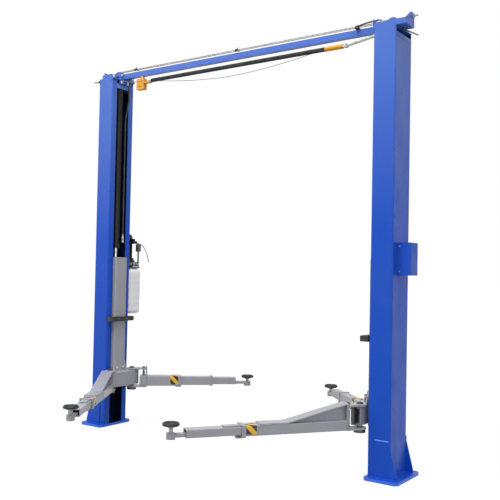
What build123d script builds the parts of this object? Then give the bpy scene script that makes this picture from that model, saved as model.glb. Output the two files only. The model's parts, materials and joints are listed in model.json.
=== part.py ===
"""Two post car lift with an overhead beam.

X runs along the beam from the left post to the right one, +Y is the way a car drives in and
+Z is up. The origin is on the floor, midway between the posts. Each post piece is drawn for the
right-hand post and mirrored for the left one, but the caps are turned round instead. Each arm is
drawn along +X from its pin.
"""
from build123d import *
import os

# Driving sizes, in millimetres: the bay and the posts
bay_gap = 2850
post_depth = 185
post_width = 300
post_length = 3430
post_wall = 6
post_bend = 12
lip = 66
notch_height = 75
notch_edge = 14

# The base plates, and the plates that stiffen the foot of each post
base_thick = 25
base_width = 425
base_inner_reach = 10
base_outer_reach = 88
base_corner = 22
anchor_r = 10
anchor_edge = 32
foot_thick = 8
foot_top = 275
foot_flare_top = 237
foot_flare_low = 25
foot_flare = 56
foot_inset = 60

# The caps on the post tops
cap_thick = 8
cap_inner_reach = 14
cap_outer_reach = 82
cap_flange = 38
cap_bevel = 26
flange_short = 44
ear_height = 106
ear_slope = 55
ear_end = 5
ear_thick = 10
cheek_thick = 7
cheek_r = 24
cheek_foot = 40
slot_clear = 5

# The overhead beam, and the clips behind it that carry the hose
beam_size = 50
beam_wall = 4
beam_lift = 12
beam_plate = 8
beam_plate_width = 120
plate_drop = 40
clip_count = 5
clip_share = 0.35
clip_width = 24
clip_thick = 3

# The sheaves at the post tops and the two level cables
cable_r = 4.5
cable_offset = 14
groove_r = 45.5
groove_floor = 5
groove_open = 9
rim_r = 54
sheave_width = 52
sheave_gap = 1
sheave_inset = 53
sheave_pin_r = 12
sheave_rise = 42
run_clear = 0.5
stud_r = 8
stud_length = 70
stud_out = 34
nut_across = 26
nut_thick = 12
anchor_block = 45

# The cylinders and their hose
barrel_r = 38
barrel_bore_r = 31
barrel_inset = 55
barrel_low = 1765
barrel_drop = 60
barrel_end = 20
gland_r = 42
gland_length = 60
hanger_thick = 20
hanger_depth = 72
rod_r = 18
rod_in_barrel = 290
rod_nut_r = 30
rod_nut = 24
port_lift = 60
port_r = 11
port_height = 45
hose_r = 7
hose_inset = 10
hose_step = 43
hose_leave = 395
hose_arrive = 195
hose_bend = 40

# The carriages
column_width = 154
column_depth = 171
column_wall = 6
column_front = 40
column_low = 385
column_top = 1672
seat_thick = 20
seat_depth = 124
wing_thick = 12
wing_foot = 55
wing_gap = 150
wing_pair_rise = 1040
guide_clear = 6
block_depth = 36
block_width = 30
bracket_depth = 85
bracket_low = 397
bracket_height = 144
bracket_end = 40
bracket_wall = 8
pin_r = 20
pin_inset = 70
pin_spacing = 300
pin_clear = 0.5
pin_head_r = 46
pin_head_thick = 24
gusset_height = 108
gusset_thick = 12
gusset_top_width = 126
gusset_low_width = 190
bumper_low = 1037
bumper_height = 44
bumper_width = 310
bumper_thick = 40
bumper_reach = 30
bumper_end = 58
bumper_round = 12

# The arms
front_angles = {"right": 54.2, "left": 55.8}
rear_angles = {"right": 43.0, "left": 41.5}
fork_gap = 5
fork_drop = 15
fork_plate = 14
fork_r = 52
root_thick = 14
root_rise = 12
release_inset = 22
release_r = 10
tube_lift = 2
slide_clear = 2
tube_wall = 6
stage_wall = 5
front_reach = 1479
front_root = 120
front_width = 110
front_height = 76
slope_back = 360
flange_back = 140
flange_thick = 10
web_thick = 6
web_gap = 24
front_nose = 102
front_inner_length = 787
front_overlap = 380
tongue_length = 128
tongue_width = 60
tongue_thick = 7
rear_reach = 1178
rear_root = 140
rear_width = 100
rear_height = 100
rear_start = 80
rear_nose = 123
rear_inner_length = 340
rear_inner_overlap = 105
rear_middle_length = 435
rear_middle_overlap = 115
collar_length = 30
collar_thick = 6
latch_length = 60
latch_width = 50
latch_drop = 12
boss_r = 33
boss_height = 44
nose_width = 56
nose_thick = 24
nose_seat = 60

# The pads
pad_rise = 114
pad_r = 60.5
pad_thick = 20
pad_edge = 4
dish_r = 42
dish_depth = 4
cup_r = 40
cup_thick = 6
screw_r = 14
screw_clear = 1
screw_lift = 4

# The lock cover on the outer face of the right-hand post
cover_reach = 110
cover_width = 144
cover_low = 1551
cover_height = 250
cover_bend = 10
cover_sheet = 3

# The height limit bar under the beam, its pivot and its switch
bar_y = -25
bar_drop = 63
bar_r = 8
foam_r = 18.5
foam_inset = 415
sleeve_r = 20
sleeve_inset = 334
sleeve_length = 163
bar_bare = 54
pivot_inset = 15
pivot_r = 14
pivot_eye = 20
pivot_pin_r = 6
pivot_gap = 3
pivot_ear = 6
pivot_arm = 28
pivot_tube_r = 13
pivot_foot = 6
pivot_plate = 40
pivot_foot_drop = 22
switch_gap = 34
switch_length = 96
switch_width = 46
switch_height = 108
switch_drop = 33
switch_round = 8
tab_length = 40
tab_width = 20
rest_reach = 70
rest_width = 40
rest_height = 12
rest_gap = 0.3

# The power unit behind the left post
unit_inset = 110
unit_gap = 12
unit_plate = 8
tank_length = 210
tank_depth = 178
tank_low = 1097
tank_height = 468
tank_round = 34
pump_plate = 10
pump_plate_length = 176
pump_plate_depth = 150
pump_width = 130
pump_height = 66
motor_r = 62
motor_height = 250
bell_r = 50
bell_height = 34
valve_x = 75
valve_y = 59
valve_r = 21
valve_height = 100
stem_r = 8
stem_height = 95

# Places worked out from the driving sizes
post_in = bay_gap / 2
post_out = post_in + post_depth
post_x = post_in + post_depth / 2
post_top = base_thick + post_length
slot_half = post_width / 2 - lip
base_in = post_in - base_inner_reach
base_out = post_out + base_outer_reach
base_x = (base_in + base_out) / 2
cap_in = post_in - cap_inner_reach
cap_out = post_out + cap_outer_reach
cap_top = post_top + cap_thick
beam_low = post_top + beam_lift
beam_end = cap_in - beam_plate
plate_low = post_top - plate_drop
plate_height = beam_low + beam_size - plate_low
sheave_x = post_in + sheave_inset
sheave_z = post_top + sheave_rise
cheek_y = sheave_width / 2 + sheave_gap
pitch_r = groove_r + run_clear + cable_r
cable_x = sheave_x + pitch_r
cable_z = sheave_z + pitch_r
barrel_x = post_in + barrel_inset
barrel_top = post_top - barrel_drop
port_low = barrel_low + port_lift - port_r
hose_x = post_in - hose_inset
hose_out = hose_x - hose_step
hose_y = beam_size / 2 + hose_r + rest_gap
hose_z = beam_low + beam_size / 2
column_in = post_in - column_front
column_x = column_in + column_depth / 2
wing_low = column_low + wing_foot
wing_in = post_in + post_wall + guide_clear
wing_out = post_out - post_wall - guide_clear
wing_half = post_width / 2 - post_wall - guide_clear
bracket_in = column_in - bracket_depth
bracket_top = bracket_low + bracket_height
bracket_half = pin_spacing / 2 + bracket_end
pin_x = post_in - pin_inset
pin_y = pin_spacing / 2
fork_low = bracket_low - fork_drop - fork_plate
fork_top = bracket_top + fork_gap + fork_plate
root_top = fork_top + root_rise
tube_low = fork_low + tube_lift
rear_low = fork_low + fork_plate
stage_step = tube_wall + slide_clear
inner_step = stage_step + stage_wall + slide_clear
front_inner_tip = front_reach - front_nose
front_inner_root = front_inner_tip - front_inner_length
front_tip = front_inner_root + front_overlap
slope_end = front_tip - slope_back
flange_end = front_tip - flange_back
rear_inner_tip = rear_reach - rear_nose
rear_inner_root = rear_inner_tip - rear_inner_length
rear_middle_tip = rear_inner_root + rear_inner_overlap
rear_middle_root = rear_middle_tip - rear_middle_length
rear_tip = rear_middle_root + rear_middle_overlap
pad_top = tube_low + pad_rise
pad_low = pad_top - pad_thick
bar_z = beam_low - bar_drop
sleeve_right = post_in - sleeve_inset
foam_right = sleeve_right - sleeve_length
foam_left = foam_inset - post_in
bar_left = foam_left - bar_bare
pivot_x = sleeve_right + pivot_inset
switch_right = bar_left - switch_gap
unit_x = -post_in - unit_inset
unit_y = post_width / 2 + unit_gap + tank_depth / 2
pump_low = tank_low + tank_height
motor_low = pump_low + pump_height

low = (Align.CENTER, Align.CENTER, Align.MIN)
high = (Align.CENTER, Align.CENTER, Align.MAX)


def save(part, name):
    part.label = name
    export_step(part, f"parts/{name}.step")


def save_pair(part, name):
    """Writes the right-hand piece and its mirror image on the left."""
    save(part, f"right_{name}")
    save(part.mirror(Plane.YZ), f"left_{name}")


def base_plate():
    hole_y = base_width / 2 - anchor_edge
    near = base_in + anchor_edge
    far = base_out - anchor_edge
    places = [(near, -hole_y), (near, hole_y), (far, -hole_y), (far, 0), (far, hole_y)]
    with BuildPart() as plate:
        with Locations((base_x, 0, 0)):
            Box(base_out - base_in, base_width, base_thick, align=low)
        chamfer(plate.edges().filter_by(Axis.Z), base_corner)
        with Locations((cable_x, 0, base_thick)):
            Box(anchor_block, 2 * anchor_block, anchor_block, align=low)
        with Locations(*[(x, y, base_thick) for x, y in places]):
            Hole(anchor_r, depth=base_thick)
    save_pair(plate.part, "base_plate")


def post():
    """The folded channel, whose slot faces the bay, open at the back under its cap."""
    with BuildPart() as channel:
        with BuildSketch(Plane.XY.offset(base_thick)):
            with Locations((post_x, 0)):
                RectangleRounded(post_depth, post_width, post_bend)
                RectangleRounded(
                    post_depth - 2 * post_wall,
                    post_width - 2 * post_wall,
                    post_bend - post_wall,
                    mode=Mode.SUBTRACT,
                )
            with Locations((post_in + post_wall, 0)):
                Rectangle(4 * post_wall, 2 * slot_half, mode=Mode.SUBTRACT)
        extrude(amount=post_length)
        with Locations((post_out, 0, post_top)):
            Box(
                4 * post_wall,
                post_width - 2 * notch_edge,
                notch_height,
                align=high,
                mode=Mode.SUBTRACT,
            )
    save_pair(channel.part, "post")


def foot_plates():
    foot_in = post_in + foot_inset
    foot_out = post_out + foot_flare
    half = post_width / 2
    with BuildPart() as plates:
        for y in (-half, half + foot_thick):
            with BuildSketch(Plane.XZ.offset(-y)):
                Polygon(
                    (foot_in, base_thick),
                    (foot_in, base_thick + foot_top),
                    (post_out, base_thick + foot_top),
                    (post_out, base_thick + foot_flare_top),
                    (foot_out, base_thick + foot_flare_low),
                    (foot_out, base_thick),
                    align=None,
                )
            extrude(amount=foot_thick)
    save_pair(plates.part, "foot_plates")


def post_cap():
    """The folded tray on the post, with the beam's flange, the cable ear and the sheave's cheeks.

    Only its front half reaches out past the post, to the ear that holds one cable's stud.
    """
    half = post_width / 2
    ear_foot = cap_top + cap_flange
    slot = 2 * (rim_r + slot_clear)
    with BuildPart() as cap:
        with Locations((cap_in, 0, post_top)):
            Box(post_out - cap_in, post_width, cap_thick, align=(Align.MIN, Align.CENTER, Align.MIN))
        with Locations((post_out, -half, post_top)):
            Box(cap_outer_reach, half + ear_end, cap_thick, align=(Align.MIN, Align.MIN, Align.MIN))
        for y, flange_out in ((-half + cap_thick, cap_out), (half, post_out - flange_short)):
            with BuildSketch(Plane.XZ.offset(-y)):
                Polygon(
                    (cap_in, cap_top),
                    (cap_in + cap_bevel, ear_foot),
                    (flange_out, ear_foot),
                    (flange_out, cap_top),
                    align=None,
                )
            extrude(amount=cap_thick)
        with BuildSketch(Plane.YZ.offset(cap_out - ear_thick)):
            Polygon(
                (-half, cap_top),
                (-half, ear_foot),
                (-ear_slope, cap_top + ear_height),
                (ear_end, cap_top + ear_height),
                (ear_end, cap_top),
                align=None,
            )
        extrude(amount=ear_thick)
        with Locations((cap_in + beam_plate / 2, 0, plate_low)):
            Box(beam_plate, beam_plate_width, plate_height, align=low)
        for y in (-cheek_y, cheek_y + cheek_thick):
            with BuildSketch(Plane.XZ.offset(-y)):
                Polygon(
                    (sheave_x - cheek_foot, cap_top),
                    (sheave_x - cheek_r, sheave_z),
                    (sheave_x + cheek_r, sheave_z),
                    (sheave_x + cheek_foot, cap_top),
                    align=None,
                )
                with Locations((sheave_x, sheave_z)):
                    Circle(cheek_r)
            extrude(amount=cheek_thick)
        with Locations((sheave_x, 0, sheave_z)):
            Box(slot, 2 * cheek_y, slot, mode=Mode.SUBTRACT)
            Cylinder(sheave_pin_r, 2 * (cheek_y + 2 * cheek_thick), rotation=(90, 0, 0))
        with Locations((cap_out, -cable_offset, cable_z)):
            Cylinder(stud_r + run_clear, 4 * ear_thick, rotation=(0, 90, 0), mode=Mode.SUBTRACT)
    save(cap.part, "right_post_cap")
    save(cap.part.rotate(Axis.Z, 180), "left_post_cap")


def beam():
    """The square tube between the caps, its end plates and the clips behind it."""
    clip_low = hose_z - hose_r - rest_gap
    clip_back = hose_y + hose_r + rest_gap
    clip_pitch = clip_share * beam_end
    with BuildPart() as tube:
        with BuildSketch(Plane.YZ.offset(-beam_end)):
            with Locations((0, beam_low + beam_size / 2)):
                Rectangle(beam_size, beam_size)
                Rectangle(beam_size - 2 * beam_wall, beam_size - 2 * beam_wall, mode=Mode.SUBTRACT)
        extrude(amount=2 * beam_end)
        with Locations((-beam_end - beam_plate / 2, 0, plate_low), (beam_end + beam_plate / 2, 0, plate_low)):
            Box(beam_plate, beam_plate_width, plate_height, align=low)
        for turn in range(clip_count):
            x = (turn - (clip_count - 1) / 2) * clip_pitch
            with Locations((x, beam_size / 2, clip_low)):
                Box(
                    clip_width,
                    clip_back + clip_thick - beam_size / 2,
                    clip_thick,
                    align=(Align.CENTER, Align.MIN, Align.MAX),
                )
            with Locations((x, clip_back, clip_low)):
                Box(clip_width, clip_thick, 2 * hose_r, align=(Align.CENTER, Align.MIN, Align.MIN))
    save(tube.part, "overhead_beam")


def top_sheave():
    side = sheave_width / 2
    bore = sheave_z + sheave_pin_r + run_clear
    rim = sheave_z + rim_r
    floor = sheave_z + groove_r
    outline = [(-side, bore), (-side, rim)]
    for middle in (-cable_offset, cable_offset):
        outline += [
            (middle - groove_open, rim),
            (middle - groove_floor, floor),
            (middle + groove_floor, floor),
            (middle + groove_open, rim),
        ]
    outline += [(side, rim), (side, bore)]
    with BuildPart() as wheel:
        with BuildSketch(Plane.YZ.offset(sheave_x)):
            Polygon(*outline, align=None)
        revolve(axis=Axis((sheave_x, 0, sheave_z), (0, 1, 0)))
    save_pair(wheel.part, "top_sheave")


def level_cables():
    """Each cable runs from its stud in one cap, over the beam and down inside the other post."""
    stud_in = cap_out + stud_out - stud_length
    with BuildPart() as cables:
        for way in (1, -1):
            y = -way * cable_offset
            with BuildLine() as route:
                FilletPolyline(
                    (way * stud_in, y, cable_z),
                    (-way * cable_x, y, cable_z),
                    (-way * cable_x, y, base_thick + anchor_block),
                    radius=pitch_r,
                )
            with BuildSketch(Plane(origin=route.line @ 0, z_dir=route.line % 0)):
                Circle(cable_r)
            sweep(path=route.line)
            with BuildSketch(Plane.YZ.offset(way * stud_in)):
                with Locations((y, cable_z)):
                    Circle(stud_r)
            extrude(amount=way * stud_length)
            with BuildSketch(Plane.YZ.offset(way * cap_out)):
                with Locations((y, cable_z)):
                    RegularPolygon(nut_across / 2, 6, major_radius=False)
            extrude(amount=way * nut_thick)
    save(cables.part, "level_cables")


def cylinder():
    """The barrel that hangs under the cap, with its hanger, gland and port."""
    bore_low = barrel_low + gland_length
    with BuildPart() as barrel:
        with Locations((barrel_x, 0, barrel_low)):
            Cylinder(barrel_r, barrel_top - barrel_low, align=low)
            Cylinder(gland_r, gland_length, align=low)
        with Locations(((hose_x + barrel_x) / 2, hose_y, barrel_low + port_lift)):
            Cylinder(port_r, barrel_x - hose_x, rotation=(0, 90, 0))
        with Locations((hose_x, hose_y, port_low)):
            Cylinder(port_r, port_height, align=low)
        with Locations((barrel_x, 0, bore_low)):
            Cylinder(barrel_bore_r, barrel_top - bore_low - barrel_end, align=low, mode=Mode.SUBTRACT)
            Cylinder(rod_r + screw_clear, gland_length, align=high, mode=Mode.SUBTRACT)
        with Locations((barrel_x, 0, barrel_top)):
            Box(hanger_depth, post_width - 2 * post_wall, hanger_thick, align=low)
    save_pair(barrel.part, "cylinder")


def hose():
    """The hose from one cylinder's port up, along the back of the beam and down to the other port."""
    with BuildPart() as tube:
        with BuildLine() as route:
            FilletPolyline(
                (-hose_x, hose_y, port_low + port_height),
                (-hose_x, hose_y, post_top - hose_leave),
                (-hose_out, hose_y, post_top - hose_arrive),
                (-hose_out, hose_y, hose_z),
                (hose_out, hose_y, hose_z),
                (hose_out, hose_y, post_top - hose_arrive),
                (hose_x, hose_y, post_top - hose_leave),
                (hose_x, hose_y, port_low + port_height),
                radius=hose_bend,
            )
        with BuildSketch(Plane(origin=route.line @ 0, z_dir=route.line % 0)):
            Circle(hose_r)
        sweep(path=route.line)
    save(tube.part, "hydraulic_hose")


def lock_cover():
    with BuildPart() as cover:
        with Locations((post_out, 0, cover_low)):
            Box(cover_reach, cover_width, cover_height, align=(Align.MIN, Align.CENTER, Align.MIN))
        fillet(cover.faces().sort_by(Axis.X)[-1].edges().filter_by(Axis.Z), cover_bend)
        offset(amount=-cover_sheet, openings=cover.faces().sort_by(Axis.X)[0])
    save(cover.part, "right_lock_cover")


def wing_places():
    return [wing_low, wing_low + wing_pair_rise]


def carriage_column():
    """The box column of the carriage, the wings that hold its slide blocks and the rod's seat."""
    with BuildPart() as column:
        with BuildSketch(Plane.XY.offset(column_low)):
            with Locations((column_x, 0)):
                RectangleRounded(column_depth, column_width, 2 * column_wall)
                RectangleRounded(
                    column_depth - 2 * column_wall,
                    column_width - 2 * column_wall,
                    column_wall,
                    mode=Mode.SUBTRACT,
                )
        extrude(amount=column_top - column_low)
        for z in wing_places():
            for wing in (z, z + wing_gap):
                with BuildSketch(Plane.XY.offset(wing)):
                    with Locations(((wing_in + wing_out) / 2, 0)):
                        Rectangle(wing_out - wing_in, 2 * wing_half)
                    with Locations((column_x, 0)):
                        RectangleRounded(
                            column_depth - column_wall,
                            column_width - column_wall,
                            1.5 * column_wall,
                            mode=Mode.SUBTRACT,
                        )
                extrude(amount=wing_thick)
        with Locations((column_in + column_wall, 0, column_low)):
            Box(
                seat_depth,
                column_width - column_wall,
                seat_thick,
                align=(Align.MIN, Align.CENTER, Align.MIN),
            )
    save_pair(column.part, "carriage_column")


def slide_blocks():
    places = [
        (x, y, z + wing_thick)
        for z in wing_places()
        for x in (wing_in + block_depth / 2, wing_out - block_depth / 2)
        for y in (-wing_half + block_width / 2, wing_half - block_width / 2)
    ]
    with BuildPart() as blocks:
        with Locations(*places):
            Box(block_depth, block_width, wing_gap - wing_thick, align=low)
    save_pair(blocks.part, "slide_blocks")


def arm_bracket():
    """The open-ended cross tube on the carriage, bored for the pins, and the gusset above it."""
    with BuildPart() as bracket:
        with BuildSketch(Plane.XZ.offset(-bracket_half)):
            with Locations((bracket_in + bracket_depth / 2, bracket_low + bracket_height / 2)):
                RectangleRounded(bracket_depth, bracket_height, bracket_wall)
                Rectangle(
                    bracket_depth - 2 * bracket_wall,
                    bracket_height - 2 * bracket_wall,
                    mode=Mode.SUBTRACT,
                )
        extrude(amount=2 * bracket_half)
        with Locations((pin_x, pin_y, bracket_low), (pin_x, -pin_y, bracket_low)):
            Cylinder(pin_r + pin_clear, bracket_height, align=low, mode=Mode.SUBTRACT)
        with BuildSketch(Plane.YZ.offset(column_in - gusset_thick)):
            Polygon(
                (-gusset_low_width / 2, bracket_top - bracket_wall),
                (-gusset_low_width / 2, bracket_top),
                (-gusset_top_width / 2, bracket_top + gusset_height),
                (gusset_top_width / 2, bracket_top + gusset_height),
                (gusset_low_width / 2, bracket_top),
                (gusset_low_width / 2, bracket_top - bracket_wall),
                align=None,
            )
        extrude(amount=gusset_thick)
    save_pair(bracket.part, "arm_bracket")


def arm_pins():
    head_top = fork_low - screw_clear
    with BuildPart() as pins:
        with Locations((pin_x, pin_y, head_top), (pin_x, -pin_y, head_top)):
            Cylinder(pin_r, root_top - head_top, align=low)
            Cylinder(pin_head_r, pin_head_thick, align=high)
    save_pair(pins.part, "arm_pins")


def bumper():
    """The rubber bar across the carriage that a car door meets, returned beside the column."""
    with BuildPart() as bar:
        with BuildSketch(Plane.XY.offset(bumper_low)):
            with Locations((column_in, 0)):
                Rectangle(bumper_thick, bumper_width, align=(Align.MAX, Align.CENTER))
            with Locations((column_in, -bumper_width / 2)):
                Rectangle(bumper_reach, bumper_end, align=(Align.MIN, Align.MIN))
            with Locations((column_in, bumper_width / 2)):
                Rectangle(bumper_reach, bumper_end, align=(Align.MIN, Align.MAX))
        extrude(amount=bumper_height)
        fillet(bar.edges().filter_by(Axis.Z).group_by(Axis.X)[0], bumper_round)
    save_pair(bar.part, "door_bumper")


def cylinder_rod():
    seat_top = column_low + seat_thick
    with BuildPart() as rod:
        with Locations((barrel_x, 0, seat_top)):
            Cylinder(rod_r, barrel_low + rod_in_barrel - seat_top, align=low)
            Cylinder(rod_nut_r, rod_nut, align=low)
    save_pair(rod.part, "cylinder_rod")


def on_arm(part, end, side):
    """Turns a piece drawn along +X from its pin onto the right-hand front or rear pin."""
    if end == "front":
        return Location((pin_x, -pin_y, 0), (0, 0, 180 + front_angles[side])) * part
    return Location((pin_x, pin_y, 0), (0, 0, 180 - rear_angles[side])) * part


def save_arms(part, end, name):
    """Writes an arm's piece on the right and its mirror image on the left, each at its own angle."""
    save(on_arm(part, end, "right"), f"right_{name}")
    save(on_arm(part, end, "left").mirror(Plane.YZ), f"left_{name}")


def box_tube(width, height, floor, wall, root, tip):
    """A box tube along +X from root to tip, whose underside is at the floor height."""
    with BuildPart() as tube:
        with BuildSketch(Plane.YZ.offset(root)):
            with Locations((0, floor + height / 2)):
                RectangleRounded(width, height, wall)
                Rectangle(width - 2 * wall, height - 2 * wall, mode=Mode.SUBTRACT)
        extrude(amount=tip - root)
    return tube.part


def collar(width, height, floor, wall, tip):
    """The band round a tube's open end."""
    with BuildPart() as band:
        with BuildSketch(Plane.YZ.offset(tip - collar_length)):
            with Locations((0, floor + height / 2)):
                Rectangle(width + 2 * collar_thick, height + 2 * collar_thick)
                RectangleRounded(width, height, wall, mode=Mode.SUBTRACT)
        extrude(amount=collar_length)
    return band.part


def arm_root(root, width):
    """The fork round the carriage's lug, its release rod and the upright plate behind it."""
    with BuildPart() as fork:
        for z in (fork_low, fork_top - fork_plate):
            with BuildSketch(Plane.XY.offset(z)):
                Circle(fork_r)
                Rectangle(root, 2 * fork_r, align=(Align.MIN, Align.CENTER))
                Circle(pin_r + pin_clear, mode=Mode.SUBTRACT)
            extrude(amount=fork_plate)
        with Locations((root, 0, fork_low)):
            Box(root_thick, width, root_top - fork_low, align=(Align.MIN, Align.CENTER, Align.MIN))
        with Locations((root - release_inset, 0, fork_low)):
            Cylinder(release_r, fork_top - fork_low, align=low)
    return fork.part


def front_arm():
    """The front main arm: a box tube under a sloping flange that climbs to the tall root."""
    tube_top = tube_low + front_height
    start = front_root + root_thick
    with BuildPart() as arm:
        add(arm_root(front_root, front_width))
        add(box_tube(front_width, front_height, tube_low, tube_wall, start, front_tip))
        add(collar(front_width, front_height, tube_low, tube_wall, front_tip))
        with BuildSketch(Plane.XZ.offset(-front_width / 2)):
            Polygon(
                (start, root_top - flange_thick),
                (start, root_top),
                (slope_end, tube_top + flange_thick),
                (flange_end, tube_top + flange_thick),
                (flange_end, tube_top),
                (slope_end, tube_top),
                align=None,
            )
        extrude(amount=front_width)
        for y in (-web_gap / 2, web_gap / 2 + web_thick):
            with BuildSketch(Plane.XZ.offset(-y)):
                Polygon(
                    (start, tube_top),
                    (start, root_top - flange_thick),
                    (slope_end, tube_top),
                    align=None,
                )
            extrude(amount=web_thick)
        with Locations((front_tip - collar_length, 0, tube_low - collar_thick)):
            Box(latch_length, latch_width, latch_drop, align=(Align.MIN, Align.CENTER, Align.MAX))
        with Locations((front_tip - collar_length, 0, tube_top - tube_wall)):
            Box(
                collar_length + tongue_length,
                tongue_width,
                tongue_thick,
                align=(Align.MIN, Align.CENTER, Align.MIN),
            )
    save_arms(arm.part, "front", "front_arm")


def rear_arm():
    """The shorter rear main arm, a box tube on the fork's lower plate, through its tall root plate."""
    with BuildPart() as arm:
        add(arm_root(rear_root, rear_width))
        add(box_tube(rear_width, rear_height, rear_low, tube_wall, rear_start, rear_tip))
        with Locations((rear_tip - latch_length, 0, rear_low)):
            Box(latch_length, latch_width, latch_drop, align=(Align.MIN, Align.CENTER, Align.MAX))
    save_arms(arm.part, "rear", "rear_arm")


def nose(reach, tip, floor, foot):
    """The flat nose welded in the last tube's floor, and the boss for the pad's screw."""
    with BuildPart() as end:
        with Locations((tip - nose_seat, 0, floor)):
            Box(reach - tip + nose_seat, nose_width, nose_thick, align=(Align.MIN, Align.CENTER, Align.MIN))
        with Locations((reach, 0, foot)):
            Cylinder(boss_r, boss_height, align=low)
            Cylinder(screw_r + screw_clear, boss_height, align=low, mode=Mode.SUBTRACT)
    return end.part


def front_inner_arm():
    width = front_width - 2 * stage_step
    height = front_height - 2 * stage_step
    floor = tube_low + stage_step
    with BuildPart() as arm:
        add(box_tube(width, height, floor, tube_wall, front_inner_root, front_inner_tip))
        add(nose(front_reach, front_inner_tip, floor + tube_wall, tube_low))
    save_arms(arm.part, "front", "front_arm_inner")


def rear_middle_arm():
    width = rear_width - 2 * stage_step
    height = rear_height - 2 * stage_step
    floor = rear_low + stage_step
    with BuildPart() as arm:
        add(box_tube(width, height, floor, stage_wall, rear_middle_root, rear_middle_tip))
        add(collar(width, height, floor, stage_wall, rear_middle_tip))
    save_arms(arm.part, "rear", "rear_arm_middle")


def rear_inner_arm():
    width = rear_width - 2 * inner_step
    height = rear_height - 2 * inner_step
    floor = rear_low + inner_step
    with BuildPart() as arm:
        add(box_tube(width, height, floor, stage_wall, rear_inner_root, rear_inner_tip))
        add(nose(rear_reach, rear_inner_tip, floor + stage_wall, rear_low))
    save_arms(arm.part, "rear", "rear_arm_inner")


def pad(end, reach, foot):
    """The lifting pad, and the screw with its cup that sets the pad's height."""
    with BuildPart() as screw:
        with Locations((reach, 0, foot + screw_lift)):
            Cylinder(screw_r, pad_low - cup_thick - foot - screw_lift, align=low)
        with Locations((reach, 0, pad_low)):
            Cylinder(cup_r, cup_thick, align=high)
    save_arms(screw.part, end, f"{end}_pad_screw")
    with BuildPart() as rubber:
        with Locations((reach, 0, pad_low)):
            Cylinder(pad_r, pad_thick, align=low)
        chamfer(rubber.edges(), pad_edge)
        with Locations((reach, 0, pad_top)):
            Cylinder(dish_r, dish_depth, align=high, mode=Mode.SUBTRACT)
    save_arms(rubber.part, end, f"{end}_pad")


def bar_sleeve(radius, left, right):
    with BuildPart() as sleeve:
        with BuildSketch(Plane.YZ.offset(left)):
            with Locations((bar_y, bar_z)):
                Circle(radius)
                Circle(bar_r, mode=Mode.SUBTRACT)
        extrude(amount=right - left)
    return sleeve.part


def limit_bar():
    """The bar under the beam that a tall car lifts, with its foam and its sleeve."""
    with BuildPart() as bar:
        with BuildSketch(Plane.YZ.offset(bar_left)):
            with Locations((bar_y, bar_z)):
                Circle(bar_r)
        extrude(amount=pivot_x - bar_left)
        with Locations((pivot_x, bar_y, bar_z)):
            Cylinder(pivot_r, pivot_eye, rotation=(90, 0, 0))
            Cylinder(pivot_pin_r + screw_clear, pivot_eye, rotation=(90, 0, 0), mode=Mode.SUBTRACT)
    save(bar.part, "limit_bar")
    save(bar_sleeve(foam_r, foam_left, foam_right), "limit_bar_foam")
    save(bar_sleeve(sleeve_r, foam_right, sleeve_right), "limit_bar_sleeve")


def limit_pivot():
    """The fork that the limit bar turns in, on a tube that falls from the cap's flange."""
    ear_y = pivot_eye / 2 + pivot_gap
    foot_z = beam_low - pivot_foot_drop
    tube_start = Vector(pivot_x + pivot_arm - pivot_ear / 2, bar_y, bar_z)
    tube_end = Vector(beam_end - pivot_foot / 2, bar_y, foot_z)
    with BuildPart() as fork:
        for y in (bar_y - ear_y, bar_y + ear_y + pivot_ear):
            with BuildSketch(Plane.XZ.offset(-y)):
                with Locations((pivot_x, bar_z)):
                    Circle(pivot_r)
                    Rectangle(pivot_arm, 2 * pivot_r, align=(Align.MIN, Align.CENTER))
            extrude(amount=pivot_ear)
        with Locations((pivot_x + pivot_arm, bar_y, bar_z)):
            Box(
                pivot_ear,
                2 * (ear_y + pivot_ear),
                2 * pivot_r,
                align=(Align.MAX, Align.CENTER, Align.CENTER),
            )
        with BuildSketch(Plane(origin=tube_start, z_dir=tube_end - tube_start)):
            Circle(pivot_tube_r)
        extrude(amount=(tube_end - tube_start).length)
        with Locations((beam_end, bar_y, foot_z)):
            Box(pivot_foot, pivot_plate, pivot_plate, align=(Align.MAX, Align.CENTER, Align.CENTER))
        with Locations((pivot_x, bar_y, bar_z)):
            Cylinder(pivot_pin_r, 2 * (ear_y + pivot_ear), rotation=(90, 0, 0))
    save(fork.part, "limit_bar_pivot")


def limit_switch():
    """The switch box hung from the beam, and the rest under the bar's free end."""
    box_top = beam_low - switch_drop
    rest_top = bar_z - bar_r - rest_gap
    with BuildPart() as switch:
        with Locations((switch_right, bar_y, box_top)):
            Box(switch_length, switch_width, switch_height, align=(Align.MAX, Align.CENTER, Align.MAX))
        fillet(switch.edges().filter_by(Axis.Y), switch_round)
        with Locations((switch_right - switch_length / 2, bar_y / 2, box_top)):
            Box(tab_length, tab_width, switch_drop, align=low)
        with Locations((switch_right, bar_y, rest_top)):
            Box(rest_reach, rest_width, rest_height, align=(Align.MIN, Align.CENTER, Align.MAX))
    save(switch.part, "limit_switch")


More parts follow.
